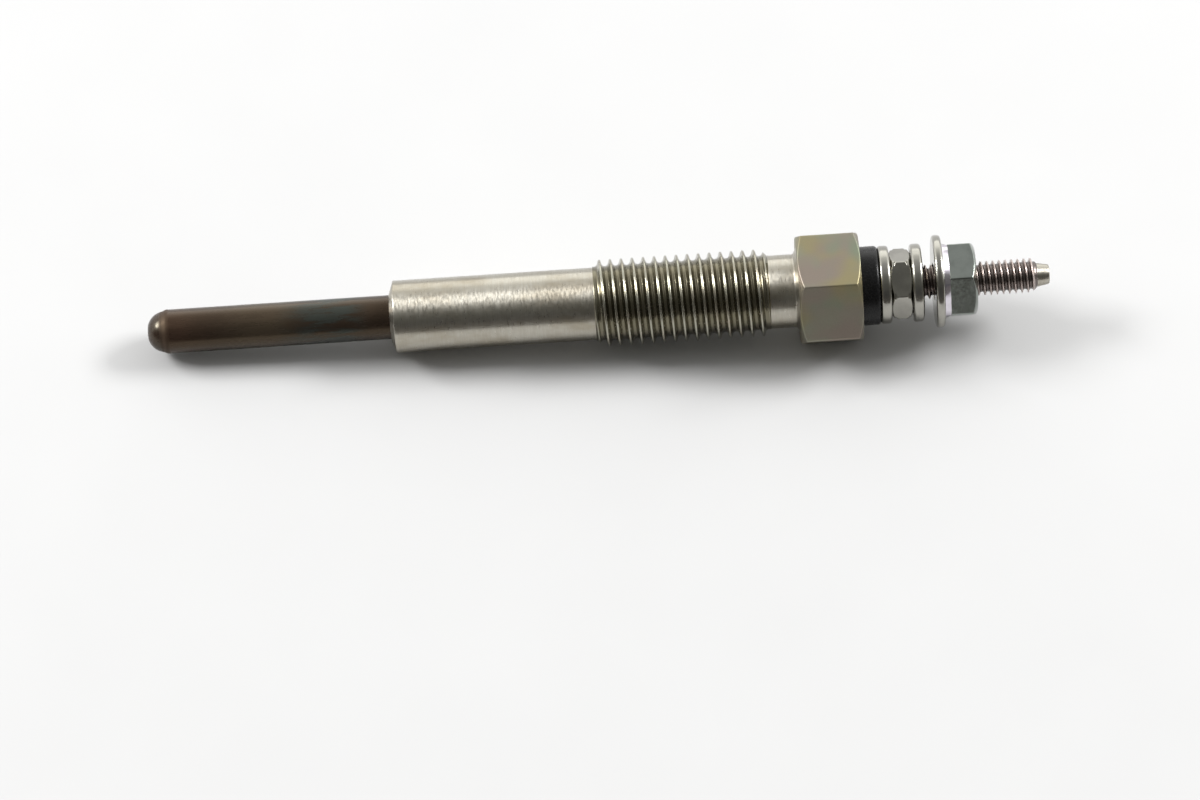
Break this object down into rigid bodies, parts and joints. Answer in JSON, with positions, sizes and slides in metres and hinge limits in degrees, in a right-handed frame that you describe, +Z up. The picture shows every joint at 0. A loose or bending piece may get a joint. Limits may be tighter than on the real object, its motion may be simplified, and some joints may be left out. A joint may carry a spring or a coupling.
{
  "type": "diesel glow plug",
  "caption": "Pencil-type diesel glow plug: closed glow tube, threaded steel body with hexagon, insulated stud with washers and nuts.",
  "frame": {"origin": "middle of the bounding box, on the table that the plug lies on", "axes": "+X along the plug towards its threaded stud (the axis rises 2.38 degrees towards +X), +Z up, -Y towards the viewer of the picture"},
  "size_m": [0.1022, 0.0138, 0.0123],
  "materials": {
    "housing": "bright zinc plating, satin, fine turning marks",
    "sheath_tube": "nickel alloy, heat-tinted dark brown, satin",
    "heating_coil": "drawn resistance wire",
    "regulating_coil": "drawn nickel-iron wire",
    "magnesia_filler": "compacted ceramic powder",
    "sheath_seal": "moulded rubber",
    "centre_rod": "nickel-plated steel, rolled thread",
    "body_seal": "moulded rubber",
    "insulating_bush": "black moulded resin, satin",
    "bush_washer": "zinc plating",
    "fixing_nut": "zinc plating",
    "contact_washer": "zinc plating",
    "terminal_washer": "zinc plating",
    "terminal_nut": "zinc plating with a faint tint"
  },
  "bodies": {
    "root": {"housing": "housing", "sheath_tube": "sheath_tube", "heating_coil": "heating_coil", "regulating_coil": "regulating_coil", "magnesia_filler": "magnesia_filler", "sheath_seal": "sheath_seal", "centre_rod": "centre_rod", "body_seal": "body_seal", "insulating_bush": "insulating_bush", "bush_washer": "bush_washer", "fixing_nut": "fixing_nut", "contact_washer": "contact_washer", "terminal_washer": "terminal_washer", "terminal_nut": "terminal_nut"}
  },
  "joints": []
}
